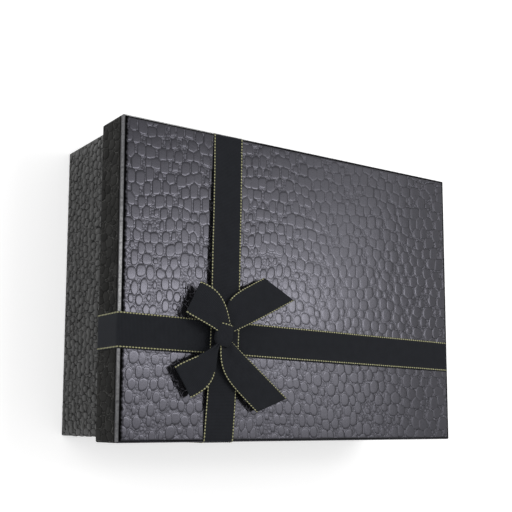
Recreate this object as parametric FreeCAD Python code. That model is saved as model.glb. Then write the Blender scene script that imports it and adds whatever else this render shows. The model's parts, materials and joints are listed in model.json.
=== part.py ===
import FreeCAD, Part
import math
import os

from FreeCAD import Vector

# Rigid two-piece gift box: a board base, a lift-off board lid, both wrapped in embossed paper,
# and two gold-edged ribbons with a bow on the lid. Modelled closed, standing on its base,
# lid up, in millimetres. X runs along the length, Z up from the table, origin under the middle.

# Overall sizes
lid_length = 250.0          # over the wrapped lid
lid_width = 180.0
closed_height = 80.0        # table to lid face, without ribbon and bow
lid_skirt = 25.5            # lid face to lid rim
lid_edge_radius = 2.0       # wrapped edges round the lid's face and corners
base_edge_radius = 1.6      # wrapped upright corners of the base

# Board, paper and glue
lid_board = 1.5
base_board = 2.0
wrap_paper = 0.25           # embossed wrap, and the plain sheet under the base
liner_paper = 0.2
glue_line = 0.15            # glue under a wrap, which holds the corner stays too
stay_film = 0.05            # glue film between a corner stay and its boards
slip = 0.75                 # play between lid and base on each side
turn_in = 15.0              # wrap folded over a rim and along its inside
turn_under = 15.0           # base wrap folded under the floor
sheet_margin = 3.0          # bottom sheet short of the base's sides
stay_leg = 15.0             # corner stay on each side of its corner
stay_margin = 2.0           # corner stay short of the wall's top and bottom
liner_drop = 5.0            # top of the wall liner below the base rim
liner_play = 0.1            # liner sheets short of the walls round them

# Ribbon and its place on the lid
ribbon_width = 20.0
ribbon_thickness = 0.3
gold_width = 0.9            # gold thread along each ribbon edge
gold_thickness = 0.45
ribbon_tuck = 12.0          # ribbon end folded up inside the lid
tape_thickness = 0.1        # tape that holds a tucked end
tape_width = 14.0
tape_height = 9.0
long_band_y = -30.9         # middle of the ribbon along the length
cross_band_x = -59.5        # middle of the ribbon across the width
cross_lift = 2.6            # slack of the upper ribbon where the two cross
cross_flat = 3.0            # its level stretch past each edge of the lower ribbon

# Bow
knot_length = 12.0          # along X
knot_width = 14.4           # along Y
knot_height = 6.4
knot_radius = 2.6
knot_wall = 0.4
glue_dot_radius = 4.0
glue_dot_height = 0.5
bow_clearance = 0.3         # between the layers gathered in the knot
wing_flat = 9.0             # level stretch of each wing, from the knot's middle
loop_fold_radius = 2.0
loop_crown = 1.0            # loop's top above the level it has in the knot
loop_rest = 2.0             # underside of a loop's fold above the lid face
tail_rest = 4.0             # underside of a tail's end above the lid face

# Each wing of the bow: heading of its straight run in degrees, middle of its end from the
# knot's middle, length of that run, and slope of its end cut.
loop_wings = [
    {"heading": 154.0, "end": (-22.6, 21.8), "run": 14.0, "cut": 0.0},
    {"heading": 211.0, "end": (-29.0, -26.4), "run": 18.0, "cut": 0.0},
]
tail_wings = [
    {"heading": 28.0, "end": (37.2, 31.2), "run": 28.0, "cut": -0.7},
    {"heading": -38.0, "end": (31.8, -38.6), "run": 30.0, "cut": 0.6},
]

# Sizes that follow from those above
far = 2.0 * (lid_length + lid_width)
paper_and_glue = wrap_paper + glue_line
lid_wall = paper_and_glue + lid_board + wrap_paper
base_wall = paper_and_glue + base_board + wrap_paper
base_length = lid_length - 2.0 * (lid_wall + slip)
base_width = lid_width - 2.0 * (lid_wall + slip)
lid_rim = closed_height - lid_skirt
lid_board_low = closed_height - paper_and_glue - lid_board
base_rim = lid_board_low - liner_paper
floor_low = wrap_paper + paper_and_glue
floor_high = floor_low + base_board
cross_top = closed_height + cross_lift + ribbon_thickness
knot_low = cross_top + glue_dot_height
wing_half_width = ribbon_width / 2.0 - gold_width
throat_half = knot_length / 2.0 - knot_radius
throat_exit = knot_width / 2.0 + bow_clearance
tail_low = knot_low + knot_wall + bow_clearance
loop_low = tail_low + gold_thickness + bow_clearance
loop_high = knot_low + knot_height - knot_wall - bow_clearance


# Basic forms

def slab(length, width, low, high):
    """Block centred on the Z axis."""
    return Part.makeBox(length, width, high - low, Vector(-length / 2.0, -width / 2.0, low))


def span(x_low, x_high, y_low, y_high, z_low, z_high):
    """Block between two corners."""
    return Part.makeBox(x_high - x_low, y_high - y_low, z_high - z_low, Vector(x_low, y_low, z_low))


def lid_form(inset, low):
    """The lid's outside taken in by an inset, cut off flat at a low level."""
    block = slab(lid_length - 2.0 * inset, lid_width - 2.0 * inset, low, closed_height - inset)
    rounded = [edge for edge in block.Edges if edge.BoundBox.ZMax > low + lid_edge_radius]
    return block.makeFillet(lid_edge_radius - inset, rounded)


def base_form(inset, low, high):
    """The base's outside taken in by an inset, between two levels."""
    block = slab(base_length - 2.0 * inset, base_width - 2.0 * inset, low, high)
    upright = [edge for edge in block.Edges if edge.BoundBox.ZLength > (high - low) / 2.0]
    return block.makeFillet(base_edge_radius - inset, upright)


def frame_strip(length, width, thickness, low, high):
    """Four-sided upright strip whose inside measures length by width."""
    outside = slab(length + 2.0 * thickness, width + 2.0 * thickness, low, high)
    return outside.cut(slab(length, width, low, high))


def face_of(points):
    """Flat face of straight lines through points, closed."""
    return Part.Face(Part.makePolygon(points + points[:1]))


# Boards, stays and papers

def wall_boards(form, inner_length, inner_width):
    """Cuts a form into its four wall boards: long ones full length, short ones between them."""
    x = inner_length / 2.0
    y = inner_width / 2.0
    return {
        "front": form.common(span(-far, far, -far, -y, -far, far)),
        "back": form.common(span(-far, far, y, far, -far, far)),
        "left": form.common(span(-far, -x, -y, y, -far, far)),
        "right": form.common(span(x, far, -y, y, -far, far)),
    }


def corner_stays(outer, inner, length, width):
    """Four folded tapes in the glue line round the corners of a wall."""
    ring = outer.cut(inner)
    stays = []
    for side_x in (-1, 1):
        for side_y in (-1, 1):
            x = side_x * length / 2.0
            y = side_y * width / 2.0
            corner = span(x - stay_leg, x + stay_leg, y - stay_leg, y + stay_leg, -far, far)
            stays.append(ring.common(corner).Solids[0])
    return Part.makeCompound(stays)


def make_lid():
    """Boards, stays, wrap and liner of the lid."""
    mouth_length = lid_length - 2.0 * lid_wall
    mouth_width = lid_width - 2.0 * lid_wall
    board_form = lid_form(paper_and_glue, lid_rim + paper_and_glue)
    top = board_form.common(slab(far, far, lid_board_low, closed_height))
    walls = board_form.common(slab(far, far, lid_rim, lid_board_low))
    inner_length = mouth_length + 2.0 * wrap_paper
    inner_width = mouth_width + 2.0 * wrap_paper
    pieces = {"lid_top_board": top}
    for side, board in wall_boards(walls, inner_length, inner_width).items():
        pieces["lid_%s_skirt_board" % side] = board

    stay_low = lid_rim + paper_and_glue + stay_margin
    stay_room = slab(far, far, stay_low, closed_height - lid_edge_radius - stay_margin)
    outer = lid_form(wrap_paper, lid_rim).common(stay_room)
    inner = lid_form(paper_and_glue - stay_film, lid_rim).common(stay_room)
    pieces["lid_corner_stays"] = corner_stays(outer, inner, lid_length, lid_width)

    wrap = lid_form(0.0, lid_rim).cut(lid_form(wrap_paper, lid_rim + wrap_paper))
    wrap = wrap.cut(slab(mouth_length, mouth_width, lid_rim, lid_rim + wrap_paper))
    fold = frame_strip(mouth_length, mouth_width, wrap_paper, lid_rim, lid_rim + turn_in)
    pieces["lid_wrap"] = wrap.fuse(fold).removeSplitter()

    liner_length = inner_length - 2.0 * liner_play
    liner_width = inner_width - 2.0 * liner_play
    pieces["lid_liner"] = slab(liner_length, liner_width, base_rim, lid_board_low)
    return pieces


def make_base():
    """Boards, stays, wrap, bottom sheet and liners of the base."""
    mouth_length = base_length - 2.0 * base_wall
    mouth_width = base_width - 2.0 * base_wall
    inner_length = mouth_length + 2.0 * wrap_paper
    inner_width = mouth_width + 2.0 * wrap_paper
    wall_high = base_rim - paper_and_glue
    walls = base_form(paper_and_glue, floor_high, wall_high)
    pieces = {"base_floor_board": base_form(paper_and_glue, floor_low, floor_high)}
    for side, board in wall_boards(walls, inner_length, inner_width).items():
        pieces["base_%s_board" % side] = board

    stay_low = floor_low + stay_margin
    stay_high = wall_high - stay_margin
    outer = base_form(wrap_paper, stay_low, stay_high)
    inner = base_form(paper_and_glue - stay_film, stay_low, stay_high)
    pieces["base_corner_stays"] = corner_stays(outer, inner, base_length, base_width)

    wrap = base_form(0.0, wrap_paper, base_rim)
    wrap = wrap.cut(base_form(wrap_paper, 2.0 * wrap_paper, base_rim - wrap_paper))
    window = slab(base_length - 2.0 * turn_under, base_width - 2.0 * turn_under, 0.0, floor_low)
    wrap = wrap.cut(window).cut(slab(mouth_length, mouth_width, wall_high, base_rim))
    fold = frame_strip(mouth_length, mouth_width, wrap_paper, base_rim - turn_in, base_rim)
    pieces["base_wrap"] = wrap.fuse(fold).removeSplitter()

    sheet_length = base_length - 2.0 * sheet_margin
    sheet_width = base_width - 2.0 * sheet_margin
    pieces["base_bottom_sheet"] = slab(sheet_length, sheet_width, 0.0, wrap_paper)
    floor_liner_high = floor_high + liner_paper
    liner_length = inner_length - 2.0 * liner_play
    liner_width = inner_width - 2.0 * liner_play
    pieces["base_floor_liner"] = slab(liner_length, liner_width, floor_high, floor_liner_high)
    clear_length = mouth_length - 2.0 * liner_paper
    clear_width = mouth_width - 2.0 * liner_paper
    liner_high = base_rim - liner_drop
    pieces["base_wall_liner"] = frame_strip(
        clear_length, clear_width, liner_paper, floor_liner_high, liner_high)
    return pieces


# Ribbons round the lid

def arch_face(half, low, radius, rise, crest):
    """Section of the lid's outside along a ribbon, in the XZ plane, grown by a rise.

    Upright sides from a low level, rounded shoulders, and a top that may climb to a crest."""
    side = half + rise
    top = closed_height + rise
    bend = radius + rise
    turn = bend * math.sqrt(0.5)
    ridge = [Vector(x, 0, top + height) for x, height in crest]
    left_foot = Vector(-side, 0, low)
    left_side = Vector(-side, 0, top - bend)
    left_mid = Vector(-side + bend - turn, 0, top - bend + turn)
    left_top = Vector(-side + bend, 0, top)
    right_top = Vector(side - bend, 0, top)
    right_mid = Vector(side - bend + turn, 0, top - bend + turn)
    right_side = Vector(side, 0, top - bend)
    right_foot = Vector(side, 0, low)
    edges = [Part.makeLine(left_foot, left_side)]
    edges.append(Part.Arc(left_side, left_mid, left_top).toShape())
    ridge_points = [left_top] + ridge + [right_top]
    edges += [Part.makeLine(a, b) for a, b in zip(ridge_points, ridge_points[1:])]
    edges.append(Part.Arc(right_top, right_mid, right_side).toShape())
    edges.append(Part.makeLine(right_side, right_foot))
    edges.append(Part.makeLine(right_foot, left_foot))
    return Part.Face(Part.Wire(edges))


def band(half, thickness, width, middle, crest):
    """Ribbon strip over the lid along X, round both rims and tucked up inside, at Y = middle."""
    across = Vector(0, width, 0)
    seat = half - lid_wall - tape_thickness
    outside = arch_face(half, lid_rim - thickness, lid_edge_radius, thickness, crest)
    inside = arch_face(half, lid_rim, lid_edge_radius, 0.0, crest)
    strip = outside.extrude(across).cut(inside.extrude(across))
    gap = span(thickness - seat, seat - thickness, 0, width, lid_rim - thickness, lid_rim)
    strip = strip.cut(gap)
    for x in (-seat, seat - thickness):
        strip = strip.fuse(span(x, x + thickness, 0, width, lid_rim - thickness, lid_rim + ribbon_tuck))
    strip = strip.removeSplitter()
    strip.translate(Vector(0, middle - width / 2.0, 0))
    return strip


def ribbon_with_edges(half, middle, crest):
    """A ribbon between its two gold edges, all along X."""
    cloth = band(half, ribbon_thickness, 2.0 * wing_half_width, middle, crest)
    edge = (ribbon_width - gold_width) / 2.0
    gold = [band(half, gold_thickness, gold_width, middle + side * edge, crest) for side in (-1, 1)]
    return cloth, Part.makeCompound(gold)


def end_tapes(half, middle):
    """Tape between the lid's inside and each tucked end of a ribbon along X."""
    seat = half - lid_wall
    y_low = middle - tape_width / 2.0
    z_low = lid_rim + (ribbon_tuck - tape_height) / 2.0
    pads = []
    for x in (-seat, seat - tape_thickness):
        pads.append(span(x, x + tape_thickness, y_low, y_low + tape_width, z_low, z_low + tape_height))
    return pads


def turned(shape):
    """A shape made along X, turned to run along Y."""
    copy = shape.copy()
    copy.rotate(Vector(0, 0, 0), Vector(0, 0, 1), 90)
    return copy


def make_ribbons():
    """Both ribbons, their gold edges and the tape on their tucked ends."""
    cloth, gold = ribbon_with_edges(lid_length / 2.0, long_band_y, [])
    reach = ribbon_width / 2.0 + cross_flat
    crest = [(long_band_y - reach, cross_lift), (long_band_y + reach, cross_lift)]
    over_cloth, over_gold = ribbon_with_edges(lid_width / 2.0, -cross_band_x, crest)
    tapes = end_tapes(lid_length / 2.0, long_band_y)
    tapes += [turned(pad) for pad in end_tapes(lid_width / 2.0, -cross_band_x)]
    return {
        "long_ribbon": cloth,
        "long_ribbon_gold_edges": gold,
        "cross_ribbon": turned(over_cloth),
        "cross_ribbon_gold_edges": turned(over_gold),
        "ribbon_end_tapes": Part.makeCompound(tapes),
    }


# Bow

def at_knot(shape):
    """Moves a shape made about the knot's middle to its place on the lid."""
    shape.translate(Vector(cross_band_x, long_band_y, 0))
    return shape


def heading_of(wing):
    """Unit vectors along a wing and across it to the left."""
    angle = math.radians(wing["heading"])
    along = Vector(math.cos(angle), math.sin(angle), 0)
    return along, Vector(-along.y, along.x, 0)


def corner(wing, offset, at_end):
    """Point of a wing's straight run, at an offset to the left of its middle line."""
    along, across = heading_of(wing)
    back = wing["cut"] * offset if at_end else -wing["run"]
    return Vector(*wing["end"], 0) + across * offset + along * back


def wing_plan(wing):
    """Outline of a wing from above: out of the knot's open end, spread past it, then a straight run."""
    side = math.copysign(1.0, wing["end"][1])
    left = -side * throat_half
    spread = -side * (knot_length / 2.0 + bow_clearance)
    exit_y = side * throat_exit
    half = wing_half_width
    return [
        Vector(left, 0, 0), Vector(left, exit_y, 0), Vector(spread, exit_y, 0),
        corner(wing, half, False), corner(wing, half, True),
        corner(wing, -half, True), corner(wing, -half, False),
        Vector(-spread, exit_y, 0), Vector(-left, exit_y, 0), Vector(-left, 0, 0),
    ]


def gold_plan(wing, side):
    """Outline of the gold thread along one side of a wing's straight run, from above."""
    inner = side * wing_half_width
    outer = side * ribbon_width / 2.0
    return [corner(wing, inner, False), corner(wing, inner, True),
            corner(wing, outer, True), corner(wing, outer, False)]


def wing_solid(wing, profile, plan):
    """A profile in height along a wing's heading, carried across it and trimmed to a plan."""
    along, across = heading_of(wing)
    sheet = profile.copy()
    sheet.rotate(Vector(0, 0, 0), Vector(0, 0, 1), wing["heading"])
    sheet.translate(across * -far)
    block = sheet.extrude(across * (2.0 * far))
    return block.common(face_of(plan).extrude(Vector(0, 0, 2.0 * closed_height)))


def reach_of(wing):
    """Distance from the knot's middle to a wing's end, along its heading."""
    along, across = heading_of(wing)
    return along.dot(Vector(*wing["end"], 0))


def tail_profile(wing, thickness):
    """Ribbon tail in the XZ plane: level in the knot, then down to its end."""
    end = 2.0 * reach_of(wing)
    fall = (closed_height + tail_rest - tail_low) * (end - wing_flat) / (reach_of(wing) - wing_flat)
    line = [(-far, tail_low), (wing_flat, tail_low), (end, tail_low + fall)]
    under = [Vector(x, 0, z) for x, z in line]
    over = [Vector(x, 0, z + thickness) for x, z in reversed(line)]
    return face_of(under + over)


def loop_profile(wing, thickness):
    """Ribbon loop in the XZ plane: out over a crown, round a fold and back underneath."""
    fold_x = reach_of(wing) - loop_fold_radius - gold_thickness / 2.0
    fold_z = closed_height + loop_rest + gold_thickness + loop_fold_radius
    crown_x = (wing_flat + fold_x) / 2.0
    half = thickness / 2.0

    def course(rise):
        """Edges of one side of the strip, outside for a positive rise."""
        bend = loop_fold_radius + rise
        start = Vector(-far, 0, loop_high - gold_thickness / 2.0 + rise)
        level = Vector(wing_flat, 0, start.z)
        crown = Vector(crown_x, 0, start.z + loop_crown)
        upper = Vector(fold_x, 0, fold_z + bend)
        tip = Vector(fold_x + bend, 0, fold_z)
        lower = Vector(fold_x, 0, fold_z - bend)
        under = Vector(wing_flat, 0, loop_low + gold_thickness / 2.0 - rise)
        last = Vector(-far, 0, under.z)
        edges = [
            Part.makeLine(start, level), Part.Arc(level, crown, upper).toShape(),
            Part.Arc(upper, tip, lower).toShape(), Part.makeLine(lower, under),
            Part.makeLine(under, last),
        ]
        return edges, start, last

    outer, outer_start, outer_last = course(half)
    inner, inner_start, inner_last = course(-half)
    ends = [Part.makeLine(outer_start, inner_start), Part.makeLine(outer_last, inner_last)]
    return Part.Face(Part.Wire(Part.__sortEdges__(outer + inner + ends)))


def bow_strip(wings, profile_of):
    """Two wings of one ribbon, joined in the knot, and the gold threads along their runs."""
    cloth = [wing_solid(wing, profile_of(wing, ribbon_thickness), wing_plan(wing)) for wing in wings]
    gold = []
    for wing in wings:
        for side in (-1, 1):
            gold.append(wing_solid(wing, profile_of(wing, gold_thickness), gold_plan(wing, side)))
    joined = cloth[0].fuse(cloth[1]).removeSplitter()
    return at_knot(joined), at_knot(Part.makeCompound(gold))


def knot_ring(grow, y_low, y_high):
    """Ribbon band round the gathered wings, open along Y."""
    half = knot_length / 2.0
    outside = span(-half - grow, half + grow, y_low, y_high, knot_low, knot_low + knot_height + grow)
    inside = span(-half + knot_wall, half - knot_wall, y_low, y_high,
                  knot_low + knot_wall, knot_low + knot_height - knot_wall)
    long_outer = [edge for edge in outside.Edges if edge.BoundBox.YLength > (y_high - y_low) / 2.0]
    long_inner = [edge for edge in inside.Edges if edge.BoundBox.YLength > (y_high - y_low) / 2.0]
    outside = outside.makeFillet(knot_radius + grow, long_outer)
    inside = inside.makeFillet(knot_radius - knot_wall, long_inner)
    return at_knot(outside.cut(inside))


def make_bow():
    """Loop strip, tail strip, knot band, their gold edges and the glue under the knot."""
    loops, loop_gold = bow_strip(loop_wings, loop_profile)
    tails, tail_gold = bow_strip(tail_wings, tail_profile)
    half = knot_width / 2.0
    grow = gold_thickness - knot_wall
    knot_gold = [knot_ring(grow, -half, gold_width - half), knot_ring(grow, half - gold_width, half)]
    dot = Part.makeCylinder(glue_dot_radius, glue_dot_height, Vector(0, 0, cross_top))
    return {
        "bow_loops": loops,
        "bow_loop_gold_edges": loop_gold,
        "bow_tails": tails,
        "bow_tail_gold_edges": tail_gold,
        "bow_knot": knot_ring(0.0, gold_width - half, half - gold_width),
        "bow_knot_gold_edges": Part.makeCompound(knot_gold),
        "bow_glue_dot": at_knot(dot),
    }


def main():
    """Builds every piece and writes one file for each."""
    os.makedirs("parts", exist_ok=True)
    pieces = {}
    for made in (make_base(), make_lid(), make_ribbons(), make_bow()):
        pieces.update(made)
    for name, shape in pieces.items():
        shape.exportStep("parts/%s.step" % name)
        box = shape.BoundBox
        print("%-26s solids %d valid %s volume %9.1f  z %.2f to %.2f" % (
            name, len(shape.Solids), shape.isValid(), shape.Volume, box.ZMin, box.ZMax))


main()
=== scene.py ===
import json
import math

import bmesh
import bpy
import numpy as np
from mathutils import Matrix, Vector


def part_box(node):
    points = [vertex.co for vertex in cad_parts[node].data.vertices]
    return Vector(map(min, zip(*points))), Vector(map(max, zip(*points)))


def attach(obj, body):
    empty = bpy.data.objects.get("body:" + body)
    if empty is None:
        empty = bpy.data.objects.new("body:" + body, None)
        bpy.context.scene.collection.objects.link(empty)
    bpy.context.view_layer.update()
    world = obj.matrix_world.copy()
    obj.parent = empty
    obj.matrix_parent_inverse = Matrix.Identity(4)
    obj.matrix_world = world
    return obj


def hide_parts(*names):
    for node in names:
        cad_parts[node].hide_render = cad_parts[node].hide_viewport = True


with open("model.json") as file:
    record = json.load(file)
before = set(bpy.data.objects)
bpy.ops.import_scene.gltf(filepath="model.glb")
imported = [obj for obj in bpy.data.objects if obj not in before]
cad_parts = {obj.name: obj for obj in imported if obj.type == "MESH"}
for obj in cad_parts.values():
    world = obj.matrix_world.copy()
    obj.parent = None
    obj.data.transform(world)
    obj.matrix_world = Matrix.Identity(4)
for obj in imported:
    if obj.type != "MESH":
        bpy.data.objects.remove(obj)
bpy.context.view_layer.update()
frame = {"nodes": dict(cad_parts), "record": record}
print("frame loaded with", len(frame["nodes"]), "nodes")

millimetre = 0.001   # shapes are worked out in millimetres and stored in metres
tiny = 1e-6


# lowest and highest corner of a CAD node in millimetres
def boxMm(node):
    low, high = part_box(node)
    return np.array(low) / millimetre, np.array(high) / millimetre


lidLow, lidHigh = boxMm("lid_wrap")
baseLow, baseHigh = boxMm("base_wrap")
longLow, longHigh = boxMm("long_ribbon")
crossLow, crossHigh = boxMm("cross_ribbon")
lidTop = lidHigh[2]
lidRim = lidLow[2]
longMiddle = (longLow[1] + longHigh[1]) / 2   # y of the ribbon along the length
crossMiddle = (crossLow[0] + crossHigh[0]) / 2   # x of the ribbon across the width


# node benches: a wire is one output socket, and sums on wires add Math nodes
class Wire:
    def __init__(self, bench, socket):
        self.bench = bench
        self.socket = socket

    def sum(self, operation, *values):
        return self.bench.add("ShaderNodeMath", {"operation": operation}, dict(enumerate(values)))

    def __add__(self, other):
        return self.sum("ADD", self, other)

    def __sub__(self, other):
        return self.sum("SUBTRACT", self, other)

    def __rsub__(self, other):
        return self.sum("SUBTRACT", other, self)

    def __mul__(self, other):
        return self.sum("MULTIPLY", self, other)

    def __neg__(self):
        return self.sum("MULTIPLY", self, -1.0)

    def __abs__(self):
        return self.sum("ABSOLUTE", self)

    def most(self, other):
        return self.sum("MAXIMUM", self, other)

    def sine(self):
        return self.sum("SINE", self)

    __radd__ = __add__
    __rmul__ = __mul__


class Bench:
    def __init__(self, owner):
        owner.use_nodes = True
        self.owner = owner
        self.tree = owner.node_tree
        self.tree.nodes.clear()

    # any node: its settings first, then values or wires into its sockets
    def add(self, kind, settings=None, sockets=None, out=0):
        node = self.tree.nodes.new(kind)
        for key, value in (settings or {}).items():
            setattr(node, key, value)
        for key, value in (sockets or {}).items():
            if isinstance(value, Wire):
                self.tree.links.new(value.socket, node.inputs[key])
            else:
                node.inputs[key].default_value = value
        return Wire(self, node.outputs[out]) if node.outputs else node

    # two colours mixed by a share
    def blend(self, share, first, second):
        return self.add("ShaderNodeMix", {"data_type": "RGBA"}, {0: share, 6: first, 7: second}, 2)

    # a number that the piece's mesh carries at each point
    def mark(self, name):
        return self.add("ShaderNodeAttribute", {"attribute_name": name}, None, 2)

    # soft noise with features of a given size in millimetres, on object coordinates
    def noise(self, size, detail):
        place = self.add("ShaderNodeTexCoord", None, None, 3)
        sockets = {"Vector": place, "Scale": 1 / (size * millimetre), "Detail": detail}
        return self.add("ShaderNodeTexNoise", None, sockets)

    # 0 below low, 1 above high, eased between or straight
    def step(self, value, low, high, kind="SMOOTHSTEP"):
        sockets = {0: value, 1: low, 2: high, 3: 0.0, 4: 1.0}
        return self.add("ShaderNodeMapRange", {"interpolation_type": kind}, sockets)

    # relief of a given depth in millimetres
    def bump(self, height, depth, under=None):
        sockets = {"Height": height, "Distance": depth * millimetre, "Strength": 1.0}
        if under:
            sockets["Normal"] = under
        return self.add("ShaderNodeBump", None, sockets)

    # one Principled surface, which is the whole material
    def shade(self, sockets):
        surface = self.add("ShaderNodeBsdfPrincipled", None, sockets)
        self.add("ShaderNodeOutputMaterial", None, {"Surface": surface})
        return self.owner


def newBench(name):
    return Bench(bpy.data.materials.new(name))


# a colour as a level of light times a tint
def grey(level, tint=(1.0, 1.0, 1.0)):
    return tuple(level * part for part in tint) + (1.0,)


# glossy black paper, embossed: rim and fold are distances in mm from a scale's border and from
# a wrinkle, so the creases stay crisp; share fades the emboss's lines out and press its slopes.
# Painted shade: the creases, the sunken skin, the grooves beside the bead and paper seen edge-on
# are mixed towards a near-black diffuse; crease sets how strong it is in the creases. Painted
# highlight: pale ridges round the scales, and light grey on the bead's left side and back.
crocFinishes = {
    "crocFace": {"gloss": 0.63, "rough": 0.12, "level": 0.012, "ridgeHighlight": 0.138, "crease": 0.6,
                 "ring": 0.28, "depth": 0.08, "tint": (0.87, 0.855, 1.0)},
    "crocBead": {"gloss": 0.3, "rough": 0.34, "level": 0.012, "ridgeHighlight": 0.0345, "crease": 0.3,
                 "ring": 0.28, "depth": 0.1, "tint": (0.87, 0.855, 1.0)},
    "crocSkirt": {"gloss": 0.01, "rough": 0.35, "level": 0.018, "ridgeHighlight": 0.0805, "crease": 0.5,
                  "ring": 0.28, "depth": 0.4, "tint": (0.93, 0.92, 0.88)},
    "crocBase": {"gloss": 0.225, "rough": 0.3, "level": 0.018, "ridgeHighlight": 0.1035, "crease": 0.85,
                 "ring": 0.36, "depth": 0.5, "tint": (0.9, 0.9, 0.88)},
}

# what the four share: mm from a scale's border or a wrinkle, shares of 1, and noises by size and detail
crocLook = {
    "skinFrom": (0.15, 0.6),      # the wrinkled skin, outside the border
    "ringAt": 0.06,               # painted shade: dark ring round each scale
    "ringFrom": 0.04,
    "lineHalf": 0.22,             # painted shade: dark lines between the wrinkles
    "lineShade": 0.75,
    "skinShade": 0.22,
    "edgeFrom": (0.8, 0.97),      # seen edge-on, the paper is mixed towards the painted crease shade
    "edgeOnShade": 0.85,
    "crestFold": (0.3, 0.6),      # painted highlight on the crests of the wrinkles
    "crestRim": (0.5, 0.8),
    "crestHighlight": 0.8,
    "ridgeAt": 0.36,              # painted highlight on a ridge outside the ring, with gaps in it
    "ridgeHalf": (0.08, 0.28),
    "gapNoise": (1.6, 2.0),
    "gapFrom": (0.4, 0.58),
    "tones": (0.8, 1.5),          # darkest and lightest scale against the finish's level
    "highlightNoise": (1.4, 3.0),       # patches in the painted highlight's grey
    "highlightBreak": (0.3, 0.7),
    "highlightShare": (0.55, 0.45),
    "beadHighlight": 0.5,
    "creaseShade": 0.003,             # level of the painted shade in the creases
    "cloudNoise": (9.0, 2.0),
    "grainNoise": (0.4, 2.0),
    "roughened": {"dark": 0.1, "cloud": 0.06, "grain": 0.04},
    "slope": (0.02, 0.95),        # a scale's shoulder, inside the border
    "wrinkleSlope": (0.0, 0.4),
    "wrinkleShare": 0.25,
    "poreNoise": (1.3, 4.0),
    "poreGrain": 0.3,
    "poreDepth": 0.02,
}


def crocPaper(name):
    k = crocFinishes[name]
    look = crocLook
    b = newBench(name)
    rim = b.mark("rim")
    fold = b.mark("fold")
    share = b.mark("share")
    skin = b.step(-rim, *look["skinFrom"])
    # painted shade: dark ring round each scale, dark lines between the wrinkles and darker sunken skin
    ring = (1 - b.step(abs(rim + look["ringAt"]), look["ringFrom"], k["ring"])) * share
    line = (1 - b.step(fold, 0.0, look["lineHalf"])) * skin * share
    lines = ring.most(line * look["lineShade"]).most(skin * share * look["skinShade"]) * k["crease"]
    # painted shade also in the grooves beside the bead and where the paper is seen edge-on
    facing = b.add("ShaderNodeLayerWeight", None, {"Blend": 0.5}, 1)
    dark = lines.most(b.mark("grooveShade")).most(b.step(facing, *look["edgeFrom"]) * look["edgeOnShade"])
    # painted highlight: pale crests of the wrinkles and pale ridges round the scales
    crest = b.step(fold, *look["crestFold"]) * b.step(-rim, *look["crestRim"]) * look["crestHighlight"]
    ridge = (1 - b.step(abs(rim + look["ridgeAt"]), *look["ridgeHalf"])).most(crest)
    ridge = ridge * b.step(b.noise(*look["gapNoise"]), *look["gapFrom"]) * share
    darkest, lightest = (grey(k["level"] * tone, k["tint"]) for tone in look["tones"])
    scale = b.blend(b.mark("tone"), darkest, lightest)
    scale = b.blend(ridge, scale, grey(k["ridgeHighlight"], k["tint"]))
    # painted highlight on the bead, in grey, broken into patches
    highlightLeast, highlightMore = look["highlightShare"]
    beadHighlight = b.mark("paintedHighlight") * (highlightLeast + b.step(b.noise(*look["highlightNoise"]), *look["highlightBreak"]) * highlightMore)
    grain = b.noise(*look["grainNoise"])
    more = look["roughened"]
    rough = k["rough"] + dark * more["dark"] + grain * more["grain"]
    rough = rough + b.noise(*look["cloudNoise"]) * more["cloud"]
    slope = b.step(rim, *look["slope"], "LINEAR")
    shoulder = slope * (2 - slope)   # rounded, steepest at the border
    shoulder = shoulder + b.step(fold, *look["wrinkleSlope"]) * skin * look["wrinkleShare"]
    fine = b.bump(b.noise(*look["poreNoise"]) + grain * look["poreGrain"], look["poreDepth"])
    paper = b.add("ShaderNodeBsdfPrincipled", None, {
        "Base Color": b.blend(beadHighlight, scale, grey(look["beadHighlight"])), "Roughness": rough,
        "Normal": b.bump(shoulder * b.mark("press"), k["depth"], fine),
        "Specular IOR Level": k["gloss"], "Specular Tint": grey(1.0, k["tint"]),
    })
    # near-black colour that the painted shade mixes in
    creaseShade = b.add("ShaderNodeBsdfDiffuse", None, {"Color": grey(look["creaseShade"])})
    b.add("ShaderNodeOutputMaterial", None,
          {"Surface": b.add("ShaderNodeMixShader", None, {0: dark, 1: paper, 2: creaseShade})})
    return b.owner


# plain finishes: two tones clouded together by soft noise, with finer noise in gloss and relief
plainFinishes = {
    "plainPaper": {       # dark liner paper, matt with faint fibres
        "fine": (0.5, 5.0), "cloud": (14.0, 3.0), "tones": (grey(0.02), grey(0.032)),
        "rough": (0.55, 0.2), "depth": 0.04},
    "greyBoard": {        # recycled board with darker flecks
        "fine": (0.9, 4.0), "cloud": (11.0, 3.0),
        "tones": (grey(0.3, (1.0, 0.97, 0.9)), grey(0.38, (1.0, 0.97, 0.9))),
        "flecks": (0.45, 0.75), "fleckShare": 0.5, "fleckTone": grey(0.2),
        "rough": (0.8, 0.1), "depth": 0.05},
    "stayTape": {         # brown gummed paper
        "fine": (0.8, 5.0), "cloud": (0.8, 5.0),
        "tones": (grey(0.42, (1.0, 0.74, 0.46)), grey(0.56, (1.0, 0.78, 0.52))),
        "rough": (0.6, 0.2), "depth": 0.03},
    "glueWax": {          # pale hot-melt glue
        "fine": (1.5, 2.0), "cloud": (1.5, 2.0),
        "tones": (grey(0.6, (1.0, 0.95, 0.78)), grey(0.72, (1.0, 0.96, 0.82))),
        "rough": (0.35, 0.1), "depth": 0.1},
}


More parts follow.
